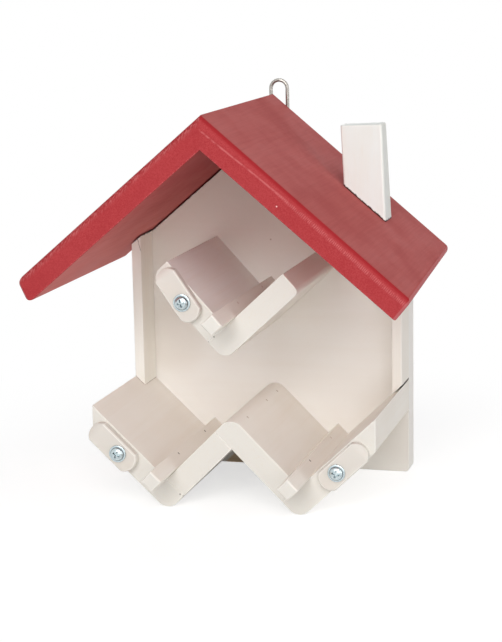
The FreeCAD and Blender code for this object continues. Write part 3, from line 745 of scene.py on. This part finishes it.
@dataclass
class Roof:
    """Two stained boards mitred at the ridge, and the chimney block on a ragged dark joint."""

    easing: float = 0.8 * MM
    mitre: float = 0.05 * MM
    shortest: float = 0.01 * MM
    left_eave: Triple = (6.5 * MM, 4.5 * MM, 1.0 * MM)
    right_eave: Triple = (4.2 * MM, 1.2 * MM, 3.0 * MM)
    fillet: float = 5.5 * MM
    left_swelling: float = 1.2 * MM
    right_swelling: float = 2.0 * MM
    top_swelling: float = 0.4 * MM
    chimney_corner: float = 2.0 * MM
    chimney_drop: float = 1.2 * MM
    chimney_easing: float = 0.55 * MM
    chimney_splay: float = 5.0 * MM
    chimney_shift: float = 1.0 * MM
    joint: float = 0.7 * MM
    ragged: float = 0.25 * MM
    teeth: int = 14
    frays: tuple[float, float] = (420, 1100)
    chip: Mark = Mark((45.3, -91.05, 209.2), 0.45, srgb(248, 214, 212))
    chimney_wash: Colour = srgb(235, 239, 236)
    chimney_joint: Colour = srgb(64, 16, 12)

    def build(self) -> None:
        """Make and dress the boards and the chimney."""
        mitre = Easing(width=self.easing, keep=lambda place: abs(place.x - RIDGE[0] * MM) < self.mitre)
        for node, side in (("roof_board_left", -1), ("roof_board_right", 1)):
            marks = (self.chip,) if side > 0 else ()
            set_board(mitre, node, RedStain(f"{node}_stain", side, 2.1 * side, marks),
                      lambda shape, side=side: self.swell(shape, side),
                      lambda shape, side=side: self.round_eave(shape, side))
        upward, _ = board_axes(1)
        line = DarkJoint(RIDGE, tuple(upward), 1.3, self.chimney_joint)
        wash = WhiteWash("chimney_wash", Grain.UPRIGHT, 5.2, (line,), self.chimney_wash, self.chimney_wash)
        set_board(Easing(width=self.chimney_easing, keep=self.at_foot), "chimney_block", wash, self.splay,
                  self.fray)

    def swell(self, shape: BMesh, side: int) -> None:
        """Make a board a little longer at its eave and a little thicker at its top."""
        upward, outward = board_axes(side)
        longer = outward * (self.right_swelling if side > 0 else self.left_swelling)
        for axis, move in ((outward, longer), (upward, Vector((0, 0, self.top_swelling)))):
            edge = max(vertex.co.dot(axis) for vertex in shape.verts) - self.fillet
            Trim(lambda place: place.dot(axis) > edge, tuple(move))(shape)

    def round_eave(self, shape: BMesh, side: int) -> None:
        """Round the eave of a board at its top, at its foot and at the front."""
        upward, outward = board_axes(side)
        top, end, under, front = [self.widest(shape, axis) for axis in
                                  (upward, outward, -upward, Vector((0, -1, 0)))]
        radii = self.right_eave if side > 0 else self.left_eave
        for face, radius in zip((top, under, front), radii):
            Rounding.between(face, end, radius).cut(shape)
        bmesh.ops.dissolve_degenerate(shape, dist=self.shortest, edges=shape.edges)

    @staticmethod
    def widest(shape: BMesh, axis: Vector) -> tuple[Vector, Vector]:
        """A point and the normal of the largest face along an axis."""
        turned = [face for face in shape.faces if face.normal.dot(axis) > 0.7]
        face = max(turned, key=lambda face: face.calc_area())
        return face.calc_center_median(), face.normal.copy()

    def at_foot(self, place: Vector) -> bool:
        """Whether a point of the chimney is at its sloping foot."""
        upward, _ = board_axes(1)
        return (place - Vector(RIDGE) * MM).dot(upward) < self.joint + 2 * self.ragged

    def splay(self, shape: BMesh) -> None:
        """Lower the chimney's top a little, bring its foot forward and its left foot down the slope."""
        low, high = map(Vector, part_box("chimney_block"))
        middle = (low + high) / 2
        down = Vector((1, 0, -math.tan(ROOF_PITCH))) * self.chimney_shift
        Trim(lambda place: place.z > high.z - self.chimney_corner, (0, 0, -self.chimney_drop))(shape)
        Trim(lambda place: self.at_foot(place) and place.x < middle.x, tuple(down))(shape)
        Trim(lambda place: self.at_foot(place) and place.y < middle.y, (0, -self.chimney_splay, 0))(shape)

    def fray(self, shape: BMesh) -> None:
        """Lift the chimney's foot off the board by an uneven sliver."""
        foot = [edge for edge in shape.edges if all(self.at_foot(vertex.co) for vertex in edge.verts)]
        long = [edge for edge in foot if edge.calc_length() > self.chimney_corner]
        bmesh.ops.subdivide_edges(shape, edges=long, cuts=self.teeth)
        coarse, fine = self.frays
        for vertex in shape.verts:
            if self.at_foot(vertex.co):
                uneven = noise.noise(vertex.co * coarse) + noise.noise(vertex.co * fine)
                vertex.co.z += self.joint + self.ragged * max(-1.0, min(1.0, uneven))
        wide = [face for face in shape.faces if len(face.verts) > 4]
        bmesh.ops.poke(shape, faces=wide)


@dataclass
class Cradles:
    """Arms of the three Vs and the perch sticks in their corners."""

    arms: tuple[str, ...] = ("upper_cradle_left_arm", "upper_cradle_right_arm", "lower_left_outer_arm",
                             "lower_left_inner_arm", "lower_right_inner_arm", "lower_right_outer_arm")
    perches: tuple[str, ...] = ("upper_perch", "lower_left_perch", "lower_right_perch")
    easing: Easing = Easing(width=0.5 * MM)
    perch_easing: Easing = Easing(width=0.2 * MM)
    # brighter wash on the upper left arm as painted light, darker on the upper right arm as painted shade
    painted_light_washes: tuple[tuple[str, Colour], ...] = (("upper_cradle_left_arm", srgb(255, 254, 250)),
                                              ("upper_cradle_right_arm", srgb(238, 233, 225)))
    snug: Trim = Trim(lambda place: place.x > 51 * MM, (0.24 * MM, 0.0, -0.25 * MM))
    pin: Colour = srgb(98, 92, 78)
    pins: tuple[tuple[float, float], ...] = ((-10.2, 116.9), (-14.1, 113.4), (-36.3, 9.1), (-34.1, 8.0))
    front: float = -46.05

    def build(self) -> None:
        """Make and dress the arms and the sticks."""
        marks = tuple(Mark((x, self.front, z), 0.5, self.pin) for x, z in self.pins)
        for index, node in enumerate(self.arms + self.perches):
            easing = self.perch_easing if node in self.perches else self.easing
            colour = dict(self.painted_light_washes).get(node, WhiteWash.wash)
            wash = WhiteWash(f"{node}_wash", Grain.DEPTH, 0.77 * index, self.on_piece(node, marks), colour)
            set_board(easing, node, wash, self.snug if node == "lower_right_perch" else None)

    @staticmethod
    def on_piece(node: str, marks: Sequence[Mark]) -> tuple[Mark, ...]:
        """Marks that fall within a solid's box."""
        low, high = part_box(node)
        return tuple(mark for mark in marks if low[0] < mark.place[0] * MM < high[0]
                     and low[2] < mark.place[2] * MM < high[2])


@dataclass
class TurnButtons:
    """Wooden tabs that turn on their screws in front of the cradles."""

    places: tuple[str, ...] = ("upper", "left", "right")
    easing: Easing = Easing(width=0.35 * MM)
    worn_reach: float = 6.0 * MM
    worn_depth: float = 2.2 * MM
    wash: Colour = srgb(224, 218, 210)

    def build(self) -> None:
        """Make and dress the tabs."""
        for index, place in enumerate(self.places):
            node = f"{place}_turn_button"
            wash = WhiteWash(f"{node}_wash", Grain.ACROSS, 2.3 + index, wash=self.wash)
            set_board(self.easing, node, wash, after=lambda shape, node=node: self.round_end(shape, node),
                      body=f"{place}_button")

    def round_end(self, shape: BMesh, node: str) -> None:
        """Round over the front of a tab's longer end, which goes over the jar."""
        low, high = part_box(node)
        middle = (Vector(low) + Vector(high)) / 2
        pivot = min(((first + last) / 2 for first, last in lumps("pivot_screws")),
                    key=lambda spot: (spot - middle).length)
        along = Vector((middle.x - pivot.x, 0, middle.z - pivot.z)).normalized()
        tip = max((vertex.co - pivot).dot(along) for vertex in shape.verts)
        radius = (self.worn_reach ** 2 + self.worn_depth ** 2) / (2 * self.worn_depth)
        lean = math.asin(self.worn_reach / radius)
        front = Vector((0, -1, 0))
        centre = Vector((pivot.x, low[1] + radius, pivot.z)) + along * (tip - self.worn_reach)
        Rounding(centre, radius, front, front * math.cos(lean) + along * math.sin(lean), 4).cut(shape)


class Facing(Enum):
    """Way that a screw's head faces, as the tilt of its axis from upright."""

    FRONT = math.pi / 2
    BACK = -math.pi / 2


@dataclass(frozen=True)
class ScrewForm:
    """Turned head of a kind of screw, as radius and depth under its top in millimetres, and its recess."""

    head: tuple[tuple[float, float], ...]
    shank: float
    span: float = 6.0
    slot: float = 1.25
    recess: float = 1.5
    stand: float = 0.4
    groove: tuple[float, float] = (4.2, 4.8)
    point: float = 0.3
    segments: int = 48

    def turned(self, length: float) -> Mesh:
        """Closed mesh of a screw of a length in metres without its recess, the head's top at the origin."""
        tip = length / MM
        outline = [*self.head, (self.shank, self.head[-1][1]), (self.shank, tip - 2 * self.shank),
                   (self.point, tip)]
        angles = [math.tau * step / self.segments for step in range(self.segments)]
        return skin("screw", [[(radius * MM * math.cos(angle), radius * MM * math.sin(angle), -depth * MM)
                               for angle in angles] for radius, depth in outline])

    def cutter(self) -> Mesh:
        """Tapered cross that cuts the recess and stands a little above the head's top."""
        rings = []
        top = (self.stand, self.span / 2, self.slot / 2)
        bottom = (-self.recess, self.span / 3.2, self.slot / 2.6)
        for height, reach, half in (top, bottom):
            side = ((half, half), (reach, half), (reach, -half))
            spots = [Matrix.Rotation(-quarter * math.pi / 2, 2) @ Vector(point)
                     for quarter in range(4) for point in side]
            rings.append([(spot.x * MM, spot.y * MM, height * MM) for spot in spots])
        return skin("recess", rings)

    def build(self, length: float) -> Object:
        """Screw of a length in metres with its recess cut, its faces marked for painted shade in the recess,
        on steep walls and in the flange's groove.
        """
        blank = new_object("screw_blank", self.turned(length))
        cross = new_object("screw_cross", self.cutter())
        cut = blank.modifiers.new("recess", "BOOLEAN")
        cut.operation = "DIFFERENCE"
        cut.solver = "EXACT"
        cut.object = cross
        mesh = plain_mesh(blank)
        blank.modifiers.remove(cut)
        blank.data = mesh
        bpy.data.objects.remove(cross)
        shape = bmesh.new()
        shape.from_mesh(mesh)
        bmesh.ops.triangulate(shape, faces=shape.faces)
        bmesh.ops.dissolve_degenerate(shape, dist=2 * SAME_PLACE, edges=shape.edges)
        shape.to_mesh(mesh)
        shape.free()
        # faces marked for painted shade: recess walls fully, other steep walls and the flange's groove less
        mark = mesh.attributes.new("recess", "FLOAT", "FACE")
        for face in mesh.polygons:
            middle = Vector(face.center)
            inside = middle.xy.length < self.span * MM * 0.5 and middle.z > -(self.recess + 0.1) * MM
            wall = abs(face.normal.z) < 0.5
            groove = self.groove[0] * MM < middle.xy.length < self.groove[1] * MM
            mark.data[face.index].value = 1.0 if wall and inside else 0.8 if wall or groove else 0.0
        return blank


def plain_mesh(item: Object) -> Mesh:
    """Mesh of an object with all its modifiers applied."""
    bpy.context.view_layer.update()
    return bpy.data.meshes.new_from_object(item.evaluated_get(bpy.context.evaluated_depsgraph_get()))


def lumps(node: str) -> list[tuple[Vector, Vector]]:
    """Lowest and highest corner of each separate solid of a node, from left to right."""
    shape = merged(node)
    left = set(shape.verts)
    boxes = []
    while left:
        chain = connected(left.pop(), left,
                          lambda vertex: [edge.other_vert(vertex) for edge in vertex.link_edges])
        axes = list(zip(*(vertex.co for vertex in chain)))
        boxes.append((Vector(map(min, axes)), Vector(map(max, axes))))
    shape.free()
    return sorted(boxes, key=lambda box: (round(box[0].x, 5), round(box[0].z, 5)))


@dataclass
class ScrewSet:
    """Screws of one kind, set by a node tree on the points where the solids have them."""

    node: str
    form: ScrewForm
    facing: Facing
    seed: int
    crease: float = math.radians(32)

    def points(self) -> Mesh:
        """Mesh with one vertex at the middle of each head's top."""
        boxes = lumps(self.node)
        front = self.facing is Facing.FRONT
        spots = [((low.x + high.x) / 2, low.y if front else high.y, (low.z + high.z) / 2)
                 for low, high in boxes]
        mesh = bpy.data.meshes.new(self.node)
        mesh.from_pydata(spots, [], [])
        return mesh

    def tree(self) -> NodeTree:
        """Node tree that sets a screw on each point, turned at random about its axis."""
        tree = bpy.data.node_groups.new("set_screws", "GeometryNodeTree")
        for name, kind in (("Points", "Geometry"), ("Screw", "Object"), ("Finish", "Material"),
                           ("Tilt", "Float"), ("Seed", "Int")):
            tree.interface.new_socket(name, in_out="INPUT", socket_type=f"NodeSocket{kind}")
        tree.interface.new_socket("Screws", in_out="OUTPUT", socket_type="NodeSocketGeometry")
        kit = NodeKit(tree)
        given = kit.add("NodeGroupInput").outputs
        angle = kit.add("FunctionNodeRandomValue", {"Max": math.pi / 2, "Seed": given["Seed"]},
                        data_type="FLOAT").outputs["Value"]
        turn = kit.add("FunctionNodeAxisAngleToRotation", {"Angle": angle}).outputs[0]
        angles = kit.add("CombineXYZ", {"X": given["Tilt"]}).outputs[0]
        tilt = kit.add("FunctionNodeEulerToRotation", {"Euler": angles}).outputs[0]
        both = kit.add("FunctionNodeRotateRotation", {"Rotation": turn, "Rotate By": tilt},
                       rotation_space="GLOBAL").outputs[0]
        screw = kit.add("GeometryNodeObjectInfo", {"Object": given["Screw"], "As Instance": True})
        spots = kit.add("GeometryNodeMeshToPoints", {"Mesh": given["Points"]}).outputs[0]
        screws = kit.add("GeometryNodeInstanceOnPoints", {
            "Points": spots, "Instance": screw.outputs["Geometry"], "Rotation": both}).outputs[0]
        real = kit.add("GeometryNodeRealizeInstances", {"Geometry": screws}).outputs[0]
        dressed = kit.add("GeometryNodeSetMaterial", {"Geometry": real, "Material": given["Finish"]})
        kit.add("NodeGroupOutput", {"Screws": dressed.outputs[0]})
        return tree

    def build(self, material: Material) -> None:
        """Set the screws, make them one plain mesh of this material and let it stand for the solids."""
        low, high = lumps(self.node)[0]
        screw = self.form.build(high.y - low.y)
        item = new_object(f"{self.node}_set", self.points())
        tree = self.tree()
        setting = item.modifiers.new("setting", "NODES")
        setting.node_group = tree
        values = {"Screw": screw, "Finish": material, "Tilt": self.facing.value, "Seed": self.seed}
        for socket in tree.interface.items_tree:
            if socket.name in values:
                setting[socket.identifier] = values[socket.name]
        mesh = plain_mesh(item)
        item.modifiers.remove(setting)
        item.data = mesh
        mesh.shade_smooth()
        mesh.set_sharp_from_angle(angle=self.crease)
        bpy.data.objects.remove(screw)
        put_in_place(item, self.node, FEEDER)


@dataclass
class Hardware:
    """Screws, brads and the wire loop."""

    pivot: ScrewForm = ScrewForm(((0.4, 0.0), (1.5, 0.1), (2.6, 0.32), (3.4, 0.7), (3.95, 1.15), (4.25, 1.6),
                                  (4.3, 2.3), (4.75, 2.35), (5.4, 2.4), (5.7, 2.5), (5.8, 2.65), (5.8, 3.2)),
                                 2.0)
    sunk: ScrewForm = ScrewForm(((0.4, 0.0), (3.7, 0.0), (4.0, 0.12), (4.0, 0.3), (2.1, 2.2)), 1.95)
    round_head: ScrewForm = ScrewForm(((0.4, 0.0), (1.6, 0.1), (2.7, 0.4), (3.5, 0.85), (3.9, 1.4),
                                       (4.0, 1.8), (4.0, 2.4)), 1.9, recess=1.2)
    paint: Colour = srgb(232, 216, 204)
    cover: float = 20.0
    covered: tuple[float, float] = (30 * MM, 100 * MM)

    def build(self) -> None:
        """Set the screws and dress the other metal pieces."""
        zinc = Steel("zinc_plate", srgb(208, 220, 223), srgb(176, 191, 196), 0.2, 0.34).material()
        wire = Steel("drawn_wire", srgb(176, 172, 166), srgb(140, 136, 130), 0.24, 0.4).material()
        nail = Steel("dull_nail", srgb(128, 114, 102), srgb(96, 84, 74), 0.45, 0.6,
                     marks=self.painted()).material()
        washed = Steel("washed_nail", srgb(218, 206, 192), srgb(198, 184, 170), 0.5, 0.65).material()
        for screws in (ScrewSet("pivot_screws", self.pivot, Facing.FRONT, 4),
                       ScrewSet("panel_screws", self.sunk, Facing.BACK, 7),
                       ScrewSet("hanger_screws", self.round_head, Facing.BACK, 2)):
            screws.build(zinc)
        for node, material in {"hanging_loop": wire, "perch_brads": nail, "peak_brads": washed}.items():
            dress(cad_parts[node], material)
            log.info("%s has the finish %s", node, material.name)

    def painted(self) -> tuple[Mark, ...]:
        """Wash over the brads of the upper perch and over the right perch's rear one."""
        spots = [(low + high) / 2 for low, high in lumps("perch_brads")]
        right, upper = self.covered
        hidden = [spot for spot in spots if spot.z > upper or (spot.x > right and spot.y > 0)]
        return tuple(Mark(tuple(spot / MM), self.cover, self.paint) for spot in hidden)


@dataclass(frozen=True)
class Lamp:
    """Square soft lamp that points at the middle of the feeder."""

    name: str
    spot: Triple
    side: float
    watts: float
    target: Triple = (0.0, 0.0, 0.13)

    def hang(self) -> None:
        """Put the lamp in the scene."""
        light = bpy.data.lights.new(self.name, "AREA")
        light.size = self.side
        light.energy = self.watts
        item = new_object(self.name, light)
        item.location = self.spot
        item.rotation_euler = (Vector(self.spot) - Vector(self.target)).to_track_quat("Z", "Y").to_euler()


@dataclass
class Studio:
    """Pale floor, soft light and a camera where the photograph was taken."""

    place: Triple = (0.3287754, -1.1592818, 0.3561695)
    yaw: float = math.radians(15.7387)
    pitch: float = math.radians(-11.1423)
    roll: float = math.radians(-1.1192)
    focal_pixels: float = 1826.7
    sensor: float = 24.0
    ambient: float = 0.32
    floor_reach: float = 30.0
    floor_tone: float = 0.93
    floor_lift: float = 0.64
    floor_seen: float = 0.56
    shadow_near: float = 0.14
    shadow_far: float = 0.42
    lamps: tuple[Lamp, ...] = (
        Lamp("high", (0.6, -2.3, 1.9), 1.6, 26.8), Lamp("key", (-0.3, -2.5, 1.2), 0.8, 13.2),
        Lamp("right", (2.4, -0.5, 0.6), 1.6, 11.6), Lamp("near", (1.25, -2.3, 0.3), 1.2, 5.2),
        Lamp("front", (0.9, -2.5, 0.9), 0.8, 3.9), Lamp("low", (0.0, -2.6, 0.2), 0.8, 4.6),
        Lamp("back", (-0.4, 2.6, 0.3), 1.4, 21.0))

    def build(self) -> None:
        """Set up the world, the floor, the lamps and the camera."""
        bpy.context.scene.view_settings.view_transform = "Standard"
        self.light_world()
        self.lay_floor()
        for lamp in self.lamps:
            lamp.hang()
        self.aim_camera()

    def light_world(self) -> None:
        """Even white surroundings, seen as plain white."""
        world = bpy.data.worlds.new("studio")
        bpy.context.scene.world = world
        world.use_nodes = True
        kit = NodeKit(world.node_tree)
        strength = kit.add("MapRange", {"Value": kit.seen_white(), "To Min": self.ambient, "To Max": 1.0})
        kit.put(kit.nodes["Background"].inputs["Color"], WHITE)
        kit.put(kit.nodes["Background"].inputs["Strength"], strength.outputs[0])

    def lay_floor(self) -> None:
        """Large pale floor that takes the shadow near the feeder and fades to white."""
        shape = bmesh.new()
        bmesh.ops.create_grid(shape, x_segments=1, y_segments=1, size=self.floor_reach)
        floor = new_object("floor", finished(shape, "floor"))
        tree = FinishTree("floor")
        seen = tree.seen_white()
        tree.surface(Base_Color=tree.blend(seen, (self.floor_tone,) * 3, (self.floor_seen,) * 3),
                     Roughness=0.9, Specular_IOR_Level=0.0, Emission_Color=WHITE,
                     Emission_Strength=tree.product(seen, self.floor_lift))
        away = tree.add("VectorMath", {0: tree.place}, operation="LENGTH").outputs["Value"]
        far = tree.product(tree.remap(away, self.shadow_near, self.shadow_far), seen)
        white = tree.add("Emission").outputs[0]
        lightened = tree.add("MixShader", {0: far, 1: tree.shader.outputs[0], 2: white}).outputs[0]
        tree.put(tree.nodes["Material Output"].inputs["Surface"], lightened)
        dress(floor, tree.material)

    def aim_camera(self) -> None:
        """Camera at the place, direction and focal length that fit the photograph."""
        level = math.cos(self.pitch)
        ahead = Vector((-math.sin(self.yaw) * level, math.cos(self.yaw) * level, math.sin(self.pitch)))
        right = Vector((math.cos(self.yaw), math.sin(self.yaw), 0))
        up = right.cross(ahead)
        side = math.cos(self.roll) * right + math.sin(self.roll) * up
        top = math.cos(self.roll) * up - math.sin(self.roll) * right
        lens = bpy.data.cameras.new("camera")
        lens.sensor_fit = "VERTICAL"
        lens.sensor_height = self.sensor
        lens.lens = self.focal_pixels * self.sensor / PHOTO_HEIGHT
        camera = new_object("camera", lens)
        turn = Matrix((side, top, -ahead)).transposed().to_4x4()
        camera.matrix_world = Matrix.Translation(Vector(self.place)) @ turn
        bpy.context.scene.camera = camera


def main() -> None:
    """Build every sub-assembly in order."""
    logging.basicConfig(level=logging.INFO, format="%(message)s")
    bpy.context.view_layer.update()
    for assembly in (House(), Roof(), Cradles(), TurnButtons(), Hardware(), Studio()):
        assembly.build()
        log.info("%s done", type(assembly).__name__)


if __name__ == "__main__":
    main()
